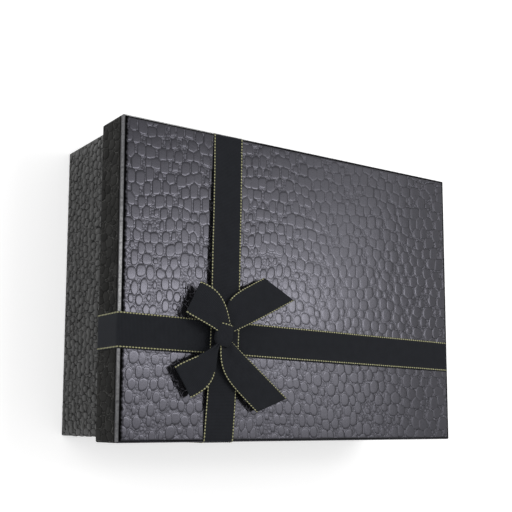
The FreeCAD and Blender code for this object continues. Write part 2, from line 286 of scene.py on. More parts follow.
def plainFinish(name):
    k = plainFinishes[name]
    b = newBench(name)
    fine = b.noise(*k["fine"])
    colour = b.blend(b.noise(*k["cloud"]), *k["tones"])
    if "flecks" in k:
        fine = b.step(fine, *k["flecks"])
        colour = b.blend(fine * k["fleckShare"], colour, k["fleckTone"])
    least, more = k["rough"]
    return b.shade({
        "Base Color": colour, "Roughness": least + fine * more, "Normal": b.bump(fine, k["depth"]),
    })


# black ribbon: fine ribs across the width, from the ribbon's own map in millimetres
ribbonCloth = {
    "ribPitch": 0.8,
    "ribDepth": 0.05,
    "ribShare": 0.25,             # dark share of the colour half way down a rib
    "black": 0.019,
    "tones": (1.0, 1.5, 0.5),     # dark cloud, light cloud and rib against black
    "tint": (0.93, 1.0, 1.2),
    "cloudNoise": (5.0, 3.0),
    "fuzzNoise": (0.25, 2.0),
    "relief": (0.5, 0.7),         # shares of rib and fuzz
    "rough": (0.5, 0.12),
    "gloss": 0.02,
}


def ribbonBlack():
    k = ribbonCloth
    b = newBench("ribbonBlack")
    along = b.add("ShaderNodeSeparateXYZ", None, {0: b.add("ShaderNodeUVMap")})
    rib = (along * (2 * math.pi / k["ribPitch"])).sine()
    cloud = b.noise(*k["cloudNoise"])
    dark, light, ribTone = (k["black"] * tone for tone in k["tones"])
    plain = b.blend(cloud, grey(dark, k["tint"]), grey(light, k["tint"]))
    ribShare, fuzzShare = k["relief"]
    relief = rib * ribShare + b.noise(*k["fuzzNoise"]) * fuzzShare
    least, more = k["rough"]
    return b.shade({
        "Base Color": b.blend(rib * k["ribShare"] + k["ribShare"], plain, grey(ribTone)),
        "Roughness": least + cloud * more, "Normal": b.bump(relief, k["ribDepth"]),
        "Specular IOR Level": k["gloss"],
    })


# metal thread: ply is 1 on a stitch and 0 in the dark gap before the next
goldLook = {
    "tones": (grey(0.22, (1.0, 0.98, 0.47)), grey(0.34, (1.0, 1.0, 0.6))),
    "gap": grey(0.17, (1.0, 0.93, 0.5)),
    "cloudNoise": (2.0, 2.0),
    "stitchFrom": (0.4, 0.75),
    "metal": 0.7,
    "rough": (0.45, 0.1),
    "fibreNoise": (0.2, 2.0),
    "fibreDepth": 0.03,
}


def goldThread():
    k = goldLook
    b = newBench("goldThread")
    ply = b.mark("ply")
    bright = b.blend(b.noise(*k["cloudNoise"]), *k["tones"])
    most, less = k["rough"]
    return b.shade({
        "Base Color": b.blend(b.step(ply, *k["stitchFrom"]), k["gap"], bright),
        "Metallic": k["metal"], "Roughness": most - ply * less,
        "Normal": b.bump(b.noise(*k["fibreNoise"]), k["fibreDepth"]),
    })


crocMaterials = {name: crocPaper(name) for name in crocFinishes}
ribbonMaterial = ribbonBlack()
goldMaterial = goldThread()
nodeFinishes = {
    "greyboard": plainFinish("greyBoard"),
    "stay_tape": plainFinish("stayTape"),
    "plain_paper": plainFinish("plainPaper"),
    "adhesive": plainFinish("glueWax"),
    "croc_paper": crocMaterials["crocBase"],
    "ribbon_cloth": ribbonMaterial,
    "gold_thread": goldMaterial,
}
for entry in frame["record"]["subparts"]:
    mesh = frame["nodes"][entry["node"]].data
    mesh.materials.clear()
    mesh.materials.append(nodeFinishes[entry["material_slot"]])
print("finishes made:", len(nodeFinishes))


# one patch of surface: points in rows and columns, wrapped round where it is closed
def patch(points, closeRows=False, closeCols=False, uv=None, marks=None, capEnds=False):
    return {"points": points, "closeRows": closeRows, "closeCols": closeCols, "uv": uv,
            "marks": marks or {}, "capEnds": capEnds}


# quads of a patch, then one polygon on each capped end; a corner's map comes from the
# patch's grid with one more row or column where it wraps
def patchFaces(part):
    rows, cols = part["points"].shape[:2]
    rowCells = rows if part["closeRows"] else rows - 1
    colCells = cols if part["closeCols"] else cols - 1
    r, c = np.meshgrid(np.arange(rowCells), np.arange(colCells), indexing="ij")
    r = np.stack([r, r, r + 1, r + 1], -1).reshape(-1, 4)
    c = np.stack([c, c + 1, c + 1, c], -1).reshape(-1, 4)
    corners = [(r % rows) * cols + c % cols]
    mapped = [part["uv"][r, c] if part["uv"] is not None else np.zeros(r.shape + (2,))]
    if part["capEnds"]:
        ring = np.arange(cols)
        corners += [ring[None, ::-1], (rows - 1) * cols + ring[None]]
        mapped += [np.zeros((1, cols, 2)), np.zeros((1, cols, 2))]
    return corners, mapped


# volume between faces and the origin, above 0 when they point outwards
def signedVolume(points, corners):
    volume = 0.0
    for block in corners:
        start = points[block[:, 0]]
        for corner in range(1, block.shape[1] - 1):
            second, third = points[block[:, corner]], points[block[:, corner + 1]]
            volume += np.einsum("ij,ij->", start, np.cross(second, third))
    return volume


# a piece of patches, each turned outwards, with their map and marks; it rides on a body and may
# stand for CAD nodes
def makePiece(name, parts, material, body, nodes, mend=False):
    points, corners, mapped, first = [], [], [], 0
    for part in parts:
        faces, maps = patchFaces(part)
        spots = part["points"].reshape(-1, 3)
        if signedVolume(spots, faces) < 0:
            faces = [block[:, ::-1] for block in faces]
            maps = [block[:, ::-1] for block in maps]
        corners += [first + block for block in faces]
        mapped += maps
        points.append(spots)
        first += len(spots)
    points = np.concatenate(points) * millimetre
    sizes = np.concatenate([np.full(len(block), block.shape[1]) for block in corners])
    mesh = bpy.data.meshes.new(name)
    mesh.vertices.add(len(points))
    mesh.vertices.foreach_set("co", points.ravel())
    mesh.loops.add(int(sizes.sum()))
    mesh.loops.foreach_set("vertex_index", np.concatenate([block.ravel() for block in corners]))
    mesh.polygons.add(len(sizes))
    mesh.polygons.foreach_set("loop_start", np.cumsum(sizes) - sizes)
    mesh.polygons.foreach_set("use_smooth", np.ones(len(sizes), bool))
    layer = mesh.uv_layers.new(name="sheetMap")
    layer.data.foreach_set("uv", np.concatenate([block.reshape(-1, 2) for block in mapped]).ravel())
    for mark in parts[0]["marks"]:
        values = np.concatenate([part["marks"][mark].ravel() for part in parts])
        mesh.attributes.new(mark, "FLOAT", "POINT").data.foreach_set("value", values)
    mesh.update(calc_edges=True)
    mesh.validate()
    if mend:
        mendMesh(mesh)
    mesh.materials.append(material)
    piece = bpy.data.objects.new(name, mesh)
    bpy.context.scene.collection.objects.link(piece)
    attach(piece, body)
    if nodes:
        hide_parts(*nodes)
    triangles = sum(len(face.vertices) - 2 for face in mesh.polygons)
    print("made", name, "with", triangles, "triangles")
    return piece


mergeWithin = 1e-7   # metres


# joins points that fell together at mitred corners, and closes an open border with one face
def mendMesh(mesh):
    work = bmesh.new()
    work.from_mesh(mesh)
    bmesh.ops.remove_doubles(work, verts=work.verts, dist=mergeWithin)
    border = [edge for edge in work.edges if edge.is_boundary]
    if border:
        bmesh.ops.holes_fill(work, edges=border, sides=0)
        bmesh.ops.recalc_face_normals(work, faces=work.faces)
    if work.calc_volume(signed=True) < 0:
        bmesh.ops.reverse_faces(work, faces=work.faces)
    work.to_mesh(mesh)
    work.free()


# 0 below low, 1 above high, and 3t^2 - 2t^3 between
def ease(value, low, high):
    t = np.clip((value - low) / (high - low), 0, 1)
    return t * t * (3 - 2 * t)


# a number from 0 to 1 for each lattice place: what a large multiple of a sine has after the point
scatterSteps = (127.1, 311.7, 74.7)
scatterScale = 43758.5453


def scatter(row, col, salt):
    rowStep, colStep, saltStep = scatterSteps
    return np.modf(np.abs(np.sin(row * rowStep + col * colStep + salt * saltStep) * scatterScale))[0]


# crocodile emboss: rounded scales of mixed sizes on a jittered, wavy brick lattice, with small
# wrinkled skin between
crocPattern = {
    "pitch": (6.1, 6.8),          # mm between scales
    "jitter": 0.19,               # how far a scale strays, as a share of the pitch
    "small": (0.5, 0.7),          # sizes of the small scales, as a share of the pitch
    "large": (0.84, 1.08),
    "smallShare": 0.25,
    "tall": (0.98, 1.3),
    "point": 0.9,                 # spread of the scales' roundness
    "wave": (1.3, 0.8),           # mm the rows sway by
    "waveLength": 58,
    "waveLean": 0.11,
    "openLength": 260.0,          # mm that holds whole waves where the paper doesn't go round
    "groove": 0.02,               # mm deep round each scale
    "grooveHalf": 0.32,
    "dome": 0.028,                # mm crown of a scale, rising from its border
    "domeFrom": (0.2, 2.4),
    "skin": 0.055,                # mm drop of the skin between scales
    "skinFrom": (0.05, 0.5),
    "wrinkle": 0.06,              # mm deep
    "wrinkleHalf": 0.4,
    "wrinklePitch": (2.1, 1.9),
    "wrinkleJitter": 0.42,
    "wrinkleSize": (0.9, 0.2),    # smallest, and how much larger
    "wrinklePower": 2.0,
    "wrinkleSalt": 7,             # past the salts of the scales' own draws
    "rimRange": (-2, 4),          # what the marks keep, in mm
    "foldRange": (0, 2),
    "skinTone": 0.5,
}
farAway = 9.0   # in radii, past any scale


# distance from the border of the nearest scale in mm, above 0 inside, and the scale's number:
# each scale is a rounded rectangle |u|^p + |v|^p = 1 in its own radii, and neighbours meet where
# their measures are equal; each salt gives a scale one more draw of its own
def scaleCells(u, v, pitch, jitter, size, power, salt, cycle, reach, tight=1.0):
    tallLow, tallHigh = crocPattern["tall"]
    pitchU, pitchV = pitch
    count = 0
    if cycle:
        count = round(cycle / pitchU)
        pitchU = cycle / count
    nearest = np.full(u.shape, farAway)
    second = np.full(u.shape, farAway)
    radius = np.ones(u.shape)
    number = np.zeros(u.shape)
    baseRow = np.floor(v / pitchV)
    for rowStep in range(-2, 3):
        row = baseRow + rowStep
        shift = 0.5 * (row % 2)
        baseCol = np.floor(u / pitchU - shift)
        for colStep in range(-2, 3):
            col = baseCol + colStep
            key = col % count if count else col
            strayU = jitter * (2 * scatter(row, key, salt) - 1)
            strayV = jitter * (2 * scatter(row, key, salt + 1) - 1)
            share = tight * size(scatter(row, key, salt + 2), scatter(row, key, salt + 5))
            tall = tallLow + (tallHigh - tallLow) * scatter(row, key, salt + 3)
            radiusU = 0.5 * pitchU * share / tall
            radiusV = 0.5 * pitchV * share * tall
            farU = np.abs(u - (col + 0.5 + shift + strayU) * pitchU) / radiusU
            farV = np.abs(v - (row + 0.5 + strayV) * pitchV) / radiusV
            bend = power + crocPattern["point"] * (scatter(row, key, salt + 6) - 0.5)
            away = (farU ** bend + farV ** bend) ** (1 / bend)
            closer = away < nearest
            second = np.where(closer, nearest, np.minimum(second, away))
            radius = np.where(closer, 0.5 * (radiusU + radiusV), radius)
            number = np.where(closer, scatter(row, key, salt + 4), number)
            nearest = np.minimum(nearest, away)
    return np.minimum((reach - nearest) * radius, 0.5 * (second - nearest) * radius), number


# a small or a large scale by choice, and its size by spread
def mixedSize(choice, spread):
    k = crocPattern
    small, large = (k[name][0] + (k[name][1] - k[name][0]) * spread for name in ("small", "large"))
    return np.where(choice < k["smallShare"], small, large)


# height in mm from the paper's face and the marks the paper's finish reads: a narrow groove
# round each scale, a low crown on it, and thin lines between the wrinkles outside it
def crocRelief(u, v, salt, power, tight, cycle=None, crown=1.0):
    k = crocPattern
    span = cycle or k["openLength"]
    turn = 2 * math.pi * round(span / k["waveLength"]) / span
    sway = k["wave"][0] * np.sin(turn * u) + k["wave"][1] * np.sin(2 * turn * u + k["waveLean"] * v)
    rim, number = scaleCells(u, v + sway, k["pitch"], k["jitter"], mixedSize, power, salt, cycle, 1.0, tight)
    least, more = k["wrinkleSize"]
    fold = scaleCells(u, v, k["wrinklePitch"], k["wrinkleJitter"],
                      lambda choice, spread: least + more * choice,
                      k["wrinklePower"], salt + k["wrinkleSalt"], cycle, farAway)[0]
    groove = np.exp(-(rim / k["grooveHalf"]) ** 2)
    skin = ease(-rim, *k["skinFrom"])
    height = (crown * k["dome"] * ease(rim, *k["domeFrom"]) - k["groove"] * groove
              - skin * (k["skin"] + k["wrinkle"] * np.exp(-(fold / k["wrinkleHalf"]) ** 2)))
    return height, {"rim": np.clip(rim, *k["rimRange"]), "fold": np.clip(fold, *k["foldRange"]),
                    "tone": number * (1 - skin) + k["skinTone"] * skin}


# the lid's edge: a bead round the face between two pressed grooves, wide on the left side and
# narrow on the others
lidEdge = {
    "left": {"radius": 1.4, "faceGroove": 1.75},     # bead, and groove's middle from the lid's side
    "others": {"radius": 0.8, "faceGroove": 1.05},
    "corner": 1.0,             # radius of the upright corners
    "groove": 0.34,            # depth of the face's groove
    "sideGroove": 2.75,        # side groove's middle below the lid's face
    "sideDepth": 0.3,
    "faceLip": (0.22, 0.16),   # bead's upper start: out of the face's groove, and below the face
    "sideLip": (0.04, 2.36),   # bead's lower end: inset, and below the face
    "step": 0.63,
    "skin": 0.3,               # paper and glue over the board
    "under": 0.06,             # bead's inside behind the side's groove
    "seat": 0.005,             # bead's inside below the face panels
    "roundRows": (13, 5),      # points on the outer and inner quarter round
    "relief": 0.34,
    "reliefRows": range(3, 14),
    "grooveShades": {1.0: (0, 1, 16), 0.35: (2, 15)},   # rows of the section given painted shade, in the grooves beside the bead
    # painted highlight on the bead: along the left, most near the middle, and at the back's left end
    "highlightLeft": {"rows": range(4, 13), "least": 0.3, "more": 0.75, "middle": -0.02, "spread": 0.42},
    "highlightBack": {"rows": range(1, 9), "most": 0.9, "fade": (-70, -30)},
    "highlightFrom": (0.7, 1.0),    # how squarely a part of the edge faces that side
    "salt": 31,
}

# lid face: four panels that meet under the ribbons, each a grid with relief on top, ending in the
# groove inside the bead and closed below; the strips under the ribbons have few points
lidFace = {
    "steps": {"Left": 0.38, "Right": 0.46},
    "under": 0.385,            # panel's underside below the face
    "lip": 0.05,
    "hiddenHalf": 6.0,         # strip under a ribbon, from its middle, and its points
    "hiddenPoints": 3,
    "gap": 0.1,
    "square": (-10, 70),       # y over which scales turn squarer towards the back
    "close": (-40, 50),        # x over which they move closer to the right
    "closeShare": 0.8,
    "power": (2.2, 1.5, 0.4),  # roundness, and what square and close add
    "tight": (0.94, 0.1),
    "wider": {"from": -40, "share": 0.16, "over": 165},   # scales widen to the right
    "border": (0.05, 0.6),     # where the emboss starts, from the border
    "leftBorder": (0.5, 1.8),
    # painted shade in the groove inside the bead, growing from the border and from the left border
    "grooveShade": (0.15, 0.55),
    "leftGrooveShade": (0.9, 1.7),
    # waver of the left border, a quick sine that sways and a slow one
    "ragged": {"high": 0.25, "fast": 2.3, "sway": 2, "swayRate": 0.31, "slow": 0.83, "start": 1},
    "fade": 0.5,               # emboss, with its painted shade and highlights, lost right of the middle
    "fadeX": ((-50, 30), (40, 115)),
    "fadeY": (-45, 0),
    "front": 0.35,             # slopes lost in front
    "frontY": (-45, -15),
    "salt": 3,                 # each piece's own scatter of scales
}
facePanels = []


# grid lines from a panel's outer border to the middle of the ribbon over its inner border
def faceLine(border, ribbon, step):
    way = math.copysign(1, border - ribbon)
    shown = ribbon + way * lidFace["hiddenHalf"]
    fine = np.linspace(border, shown, round(abs(border - shown) / step) + 1)
    covered = np.linspace(shown, ribbon + way * lidFace["gap"], lidFace["hiddenPoints"])[1:]
    return np.sort(np.concatenate([fine, covered]))


# the four panels, from the grooves at the lid's sides to the ribbons' middles
def makeLidFace():
    e = lidEdge
    highX, highY = lidHigh[:2] - e["others"]["faceGroove"]
    lowX = e["left"]["faceGroove"] - lidHigh[0]
    for sideX, borderX in {"Left": lowX, "Right": highX}.items():
        step = lidFace["steps"][sideX]
        for sideY, borderY in {"Front": -highY, "Back": highY}.items():
            lineX = faceLine(borderX, crossMiddle, step)
            lineY = faceLine(borderY, longMiddle, step)
            nodes = ["lid_wrap"] if (sideX, sideY) == ("Right", "Back") else []
            makeFacePanel("lidFace" + sideY + sideX, lineX, lineY, lowX, highX, highY, nodes)


# one panel: emboss on a flat grid, sinking into the groove at the lid's borders, with one more row
# of points all round that goes down to the underside
def makeFacePanel(name, lineX, lineY, lowX, highX, highY, nodes):
    k = lidFace
    gridX, gridY = np.meshgrid(lineX, lineY, indexing="ij")
    square = ease(gridY, *k["square"])
    close = np.maximum(square, k["closeShare"] * ease(gridX, *k["close"]))
    widen = k["wider"]
    wider = gridX - widen["share"] * np.maximum(gridX - widen["from"], 0) ** 2 / widen["over"]
    plain, squarer, closer = k["power"]
    loose, tighter = k["tight"]
    power = plain + squarer * square + closer * close
    height, marks = crocRelief(wider, gridY, k["salt"], power, loose + tighter * close)
    edge = np.minimum(highX - gridX, highY - np.abs(gridY))
    ragged = k["ragged"]
    fast = np.sin(ragged["fast"] * gridY + ragged["sway"] * np.sin(ragged["swayRate"] * gridY))
    slow = np.sin(ragged["slow"] * gridY + ragged["start"])
    leftEdge = gridX - lowX + ragged["high"] * (fast + slow)
    inside = ease(edge, *k["border"]) * ease(leftEdge, *k["leftBorder"])
    rising, falling = k["fadeX"]
    faint = ease(gridX, *rising) * (1 - ease(gridX, *falling)) * ease(gridY, *k["fadeY"])
    share = inside * (1 - k["fade"] * faint)
    press = share * (1 - k["front"] * (1 - ease(gridY, *k["frontY"])))
    height = height * press - lidEdge["groove"] * (1 - inside)
    # painted shade in the groove inside the bead
    marks["grooveShade"] = 1 - ease(edge, *k["grooveShade"]) * ease(leftEdge, *k["leftGrooveShade"])
    marks["share"] = share
    marks["press"] = press
    points = np.stack([gridX, gridY, lidTop + height], -1)
    points = np.pad(points, ((1, 1), (1, 1), (0, 0)), mode="edge")
    marks = {mark: np.pad(values, 1, mode="edge") for mark, values in marks.items()}
    rim = np.ones(points.shape[:2], bool)
    rim[1:-1, 1:-1] = False
    points[rim, 2] = lidTop - k["under"]
    points[[0, -1], :, 0] += np.array([[-1], [1]]) * k["lip"]
    points[:, [0, -1], 1] += np.array([-1, 1]) * k["lip"]
    top = patch(points, uv=points[..., :2], marks=marks)
    facePanels.append(name)
    makePiece(name, [top], crocMaterials["crocFace"], "lid", nodes, mend=True)


# points along straight lines between corners, at most one step apart
def dotted(corners, step):
    corners = np.asarray(corners, float)
    runs = []
    for a, b in zip(corners, corners[1:]):
        count = max(1, math.ceil(np.linalg.norm(b - a) / step))
        runs.append(a + (b - a) * np.linspace(0, 1, count, endpoint=False)[:, None])
    return np.concatenate(runs + [corners[-1:]])


# rounded rectangle seen from above: its inner corner path, outward directions and lengths
def wallPath(half, radius, step, cornerCount=5):
    core = half - radius
    signs = ((1, -1), (1, 1), (-1, 1), (-1, -1))
    places, turns = [], []
    for side, sign in enumerate(signs):
        spot = np.array(sign) * core
        angles = np.linspace(-math.pi / 2, 0, cornerCount) + side * math.pi / 2
        places.append(np.repeat(spot[None], cornerCount, 0))
        turns.append(np.stack([np.cos(angles), np.sin(angles)], -1))
        run = dotted([spot, np.array(signs[(side + 1) % 4]) * core], step)[1:-1]
        places.append(run)
        turns.append(np.repeat(turns[-1][-1:], len(run), 0))
    places = np.concatenate(places)
    turns = np.concatenate(turns)
    outline = places + turns * radius
    steps = np.linalg.norm(np.roll(outline, -1, 0) - outline, axis=1)
    lengths = np.concatenate([[0.0], np.cumsum(steps)])
    return {"places": places, "turns": turns, "lengths": lengths, "core": core, "radius": radius}


# a closed section carried round a wall path, pushed out along its own normals: a section point
# is its inset from the wall's outside and its height; the left side may have a section of its own;
# a corner keeps what an inset leaves of its radius, and is mitred past that
def wallSurface(path, section, left, push):
    turns, core = path["turns"], path["core"]
    onLeft = ease(-turns[:, 0], 0, 1)[:, None]
    mixed = section[:, None] * (1 - onLeft) + left[:, None] * onLeft
    way = np.roll(mixed, -1, 0) - np.roll(mixed, 1, 0)
    normal = np.stack([way[..., 1], -way[..., 0]], -1)
    normal /= np.maximum(np.linalg.norm(normal, axis=-1, keepdims=True), tiny)
    bend = np.maximum(path["radius"] - np.maximum(section[:, :1], left[:, :1]), 0)
    half = core + path["radius"]
    low = (np.concatenate([left[:, :1], section[:, :1]], 1) - half + bend)[:, None]
    high = (half - section[:, :1] - bend)[:, None]
    places = path["places"][None]
    plan = np.where(places > core - tiny, high, np.clip(places, low, high))
    plan = np.where(places < tiny - core, low, plan)
    plan = plan + turns * (bend - normal[..., 0] * push)[..., None]
    height = mixed[..., 1] + normal[..., 1] * push
    return np.concatenate([plan, height[..., None]], -1)


# the walls' emboss: roundness and closeness of the scales, deepest point in mm, the share above
# which the finish draws its lines, and the mm from an upright corner over which it grows
wallEmboss = {"power": 2.6, "tight": 1.05, "deepest": -0.3, "drawnFrom": 0.3, "cornerFade": (0.5, 5.0)}


# relief, marks and map of a wall section, with a share of the emboss for each section point
def wallPatch(path, section, left, salt, share, grooveShade, lift=0.0, finer=1.0, crown=1.0):
    k = wallEmboss
    lengths = path["lengths"]
    u, v = np.meshgrid(lengths[:-1], section[:, 1] - section[:, 0], indexing="xy")
    relief, marks = crocRelief(u * finer, v * finer, salt, k["power"], k["tight"], lengths[-1] * finer, crown)
    marks["share"] = np.broadcast_to((share > k["drawnFrom"])[:, None] * 1.0, u.shape)
    marks["press"] = marks["share"]
    # painted shade in the grooves, one level for each section point
    marks["grooveShade"] = np.broadcast_to(grooveShade[:, None], u.shape)
    fromCorner = np.max(path["core"] - np.abs(path["places"]), axis=1)
    push = np.maximum(relief * share[:, None], k["deepest"]) + lift * np.minimum(share, 1)[:, None]
    push = push * ease(fromCorner, *k["cornerFade"])[None]
    points = wallSurface(path, section, left, push)
    down = np.append(section[:, 1], section[0, 1])
    uv = np.stack(np.meshgrid(lengths, down, indexing="xy"), -1)
    return patch(points, closeRows=True, closeCols=True, uv=uv, marks=marks)


# part of a circle in a wall's section, 0 degrees at the wall's outside and 90 above
def arc(centreInset, centreHeight, radius, start, stop, count):
    angle = np.radians(np.linspace(start, stop, count))
    return np.stack([centreInset - radius * np.cos(angle), centreHeight + radius * np.sin(angle)], -1)


# bead: a quarter round from the face's groove to the side's groove, as thick as the paper
def beadSection(side):
    e = lidEdge
    r, inset = side["radius"], side["faceGroove"]
    sideGroove = lidTop - e["sideGroove"]
    outerRows, innerRows = e["roundRows"]
    upper = [[inset, lidTop - e["groove"]], [inset - e["faceLip"][0], lidTop - e["faceLip"][1]]]
    lower = [[e["sideLip"][0], lidTop - e["sideLip"][1]], [e["sideDepth"], sideGroove],
             [e["sideDepth"] + e["under"], sideGroove]]
    outer = arc(r, lidTop - r, r, 90, 0, outerRows)
    inner = arc(r, lidTop - r, r - e["skin"], 0, 90, innerRows)
    seat = [[inset, lidTop - lidFace["under"] - e["seat"]]]
    return np.concatenate([upper, outer, lower, inner, seat])


# the bead carried round the lid, with a painted highlight in grey on the left, most near the
# middle, and at the back's left end
def makeLidEdge():
    e = lidEdge
    section = beadSection(e["others"])
    row = np.arange(len(section))
    share = e["relief"] * np.isin(row, e["reliefRows"])
    # painted shade in the grooves beside the bead
    grooveShade = np.zeros(len(section))
    for level, rows in e["grooveShades"].items():
        grooveShade[list(rows)] = level
    path = wallPath(lidHigh[:2], e["corner"], e["step"])
    part = wallPatch(path, section, beadSection(e["left"]), e["salt"], share, grooveShade)
    left, back = e["highlightLeft"], e["highlightBack"]
    along = path["places"][:, 1] / lidHigh[1]
    swell = left["least"] + left["more"] * np.exp(-((along - left["middle"]) / left["spread"]) ** 2)
    onLeft = ease(-path["turns"][:, 0], *e["highlightFrom"]) * swell
    onBack = ease(path["turns"][:, 1], *e["highlightFrom"]) * (1 - ease(path["places"][:, 0], *back["fade"]))
    leftRows, backRows = (np.isin(row, paintedHighlight["rows"])[:, None] for paintedHighlight in (left, back))
    part["marks"]["paintedHighlight"] = leftRows * onLeft + backRows * back["most"] * onBack
    makePiece("lidWrapEdge", [part], crocMaterials["crocBead"], "lid", [], mend=True)


# skirt: from the side's groove down the embossed wall, round the rim and up the turned-in strip
lidSkirt = {
    "rim": 0.35,               # radius of the paper's turn at the rim
    "turnIn": 15.0,
    "wall": 2.15,              # board, paper and glue
    "paper": 0.25,
    "glue": 0.1,
    "lip": (0.05, 0.4),        # upper edge: inset, and below the groove
    "top": 0.75,               # where the flat wall starts below the groove
    "turnRows": 4,
    "insideStep": 2.5,
    "relief": 1.3,
    "lift": -0.05,
    "finer": 1.0,
    "crown": 3.0,
    "rimFade": (0.3, 1.4),     # mm over which the emboss grows from the rim and from the groove
    "grooveFade": (0.5, 1.4),
    "grooveShade": (1.0, 0.6),
    "salt": 11,
}


def makeLidSkirt():
    e = lidEdge
    k = lidSkirt
    rim, wall, paper = k["rim"], k["wall"], k["paper"]
    groove = lidTop - e["sideGroove"]
    start = [[e["sideDepth"], groove], [k["lip"][0], groove - k["lip"][1]]]
    side = dotted([[0, groove - k["top"]], [0, lidRim + rim]], e["step"])
    lower = arc(rim, lidRim + rim, rim, 0, -90, k["turnRows"])[1:]
    inner = arc(wall - rim, lidRim + rim, -rim, 90, 0, k["turnRows"])
    fold = dotted([inner[-1], [wall, lidRim + k["turnIn"]]], k["insideStep"])[1:]
    hidden = [[wall - paper, lidRim + k["turnIn"]], [wall - paper, lidRim + paper],
              [paper + k["glue"], lidRim + paper], [e["sideDepth"] + e["under"], groove]]
    section = np.concatenate([start, side, lower, inner, fold, hidden])
    share = np.zeros(len(section))
    fade = ease(side[:, 1] - lidRim, *k["rimFade"]) * ease(groove - side[:, 1], *k["grooveFade"])
    share[len(start):len(start) + len(side)] = k["relief"] * fade
    # painted shade at the skirt's top, in the side's groove
    grooveShade = np.zeros(len(section))
    grooveShade[:len(start)] = k["grooveShade"]
    path = wallPath(lidHigh[:2], e["corner"], e["step"])
    part = wallPatch(path, section, section, k["salt"], share, grooveShade, k["lift"], k["finer"], k["crown"])
    makePiece("lidWrapSkirt", [part], crocMaterials["crocSkirt"], "lid", [], mend=True)


# base wrap: turned in at the rim, down the embossed wall and turned under the floor
baseWrap = {
    "step": 0.92,
    "corner": 0.9,             # radius of the upright corners
    "rim": 0.35,
    "turnIn": 15.0,
    "turnUnder": 15.0,
    "wall": 2.65,
    "paper": 0.25,
    "glue": 0.1,
    "turnRows": 4,
    "insideStep": 2.5,
    "relief": 2.6,
    "lift": 0.12,
    "finer": 1.28,
    "crown": 5.5,
    "floorFade": (0.3, 1.4),
    "salt": 23,
}


def makeBaseWrap():
    k = baseWrap
    rim, wall, paper = k["rim"], k["wall"], k["paper"]
    low, high = baseLow[2], baseHigh[2]
    inner = arc(wall - rim, high - rim, -rim, 0, -90, k["turnRows"])
    upper = arc(rim, high - rim, rim, 90, 0, k["turnRows"])
    fold = dotted([[wall, high - k["turnIn"]], inner[0]], k["insideStep"])[:-1]
    side = dotted([[0, high - rim], [0, low + rim]], k["step"])[1:]
    lower = arc(rim, low + rim, rim, 0, -90, k["turnRows"])[1:]
    behind = paper + k["glue"]
    hidden = [[k["turnUnder"], low], [k["turnUnder"], low + paper], [behind, low + paper],
              [behind, high - behind], [wall - paper, high - behind], [wall - paper, high - k["turnIn"]]]
    section = np.concatenate([fold, inner, upper, side, lower, hidden])
    start = len(fold) + len(inner) + len(upper)
    share = np.zeros(len(section))
    share[start:start + len(side)] = k["relief"] * ease(side[:, 1] - low, *k["floorFade"])
    noGrooveShade = np.zeros(len(section))
    path = wallPath(baseHigh[:2], k["corner"], k["step"])
    part = wallPatch(path, section, section, k["salt"], share, noGrooveShade, k["lift"], k["finer"], k["crown"])
    makePiece("baseWrapSides", [part], crocMaterials["crocBase"], "base", ["base_wrap"],
              mend=True)


makeLidFace()
makeLidEdge()
makeLidSkirt()
makeBaseWrap()


# a flat path with its corners rounded by arcs, then spaced evenly
def roundedPath(corners, radii, step):
    corners = np.asarray(corners, float)
    pieces = [corners[:1]]
    for a, b, c, radius in zip(corners, corners[1:], corners[2:], radii):
        into = (b - a) / np.linalg.norm(b - a)
        out = (c - b) / np.linalg.norm(c - b)
        turn = math.acos(np.clip(into @ out, -1, 1))
        sweep = np.linspace(0, turn, max(3, math.ceil(radius * turn / step) + 2))[:, None]
        side = np.array([-into[1], into[0]]) * math.copysign(1, into[0] * out[1] - into[1] * out[0])
        start = b - into * radius * math.tan(turn / 2)
        pieces.append(start + radius * (into * np.sin(sweep) + side * (1 - np.cos(sweep))))
    pieces.append(corners[-1:])
    return dotted(np.concatenate(pieces), step)


# length along a line at each of its points
def pathLengths(points):
    return np.concatenate([[0.0], np.cumsum(np.linalg.norm(np.diff(points, axis=0), axis=1))])


# vectors of length 1
def unit(vectors):
    return vectors / np.linalg.norm(vectors, axis=-1, keepdims=True)


# a sheet of even thickness about a middle surface, closed at its edges and ends
def sheetPatch(middle, thickness):
    normal = unit(np.cross(np.gradient(middle, axis=0), np.gradient(middle, axis=1)))
    offset = normal * thickness / 2
    points = np.concatenate([middle + offset, (middle - offset)[:, ::-1]], 1)
    lengths = pathLengths(middle[:, middle.shape[1] // 2])
    widths = pathLengths(middle[-1])
    across = np.concatenate([widths, widths[::-1], widths[:1]])
    uv = np.stack(np.meshgrid(lengths, across, indexing="ij"), -1)
    return patch(points, closeCols=True, uv=uv, capEnds=True)


# metal thread woven along the ribbon: an oval section carried along a line, which swells by a
# cosine on each stitch as it comes up out of the cloth and dips back into it
goldEdge = {
    "halfWidth": 0.45,
    "halfHeight": 0.24,
    "lay": 1.85,               # mm of one stitch
    "step": 0.17,
    "sides": 10,
    "inset": 0.5,              # from the cloth's edge
    "rise": 0.1,
    "dip": 0.6,                # size left between stitches
}


def threadPatch(line, side, up, closed=False):
    g = goldEdge
    lengths = pathLengths(line)
    turns = lengths / g["lay"]
    if closed:
        whole = lengths[-1] + np.linalg.norm(line[0] - line[-1])
        turns = lengths / whole * round(whole / g["lay"])
    angle = np.linspace(0, 2 * math.pi, g["sides"], endpoint=False)
    stitch = (0.5 + 0.5 * np.cos(2 * math.pi * turns))[:, None]
    swell = g["dip"] + (1 - g["dip"]) * stitch
    wide = swell * np.cos(angle) * g["halfWidth"]
    high = swell * np.sin(angle) * g["halfHeight"] + g["rise"] * stitch
    points = line[:, None] + side[:, None] * wide[..., None] + up[:, None] * high[..., None]
    marks = {"ply": np.broadcast_to(stitch, wide.shape)}
    return patch(points, closeRows=closed, closeCols=True, marks=marks, capEnds=not closed)


fewestPoints = 8


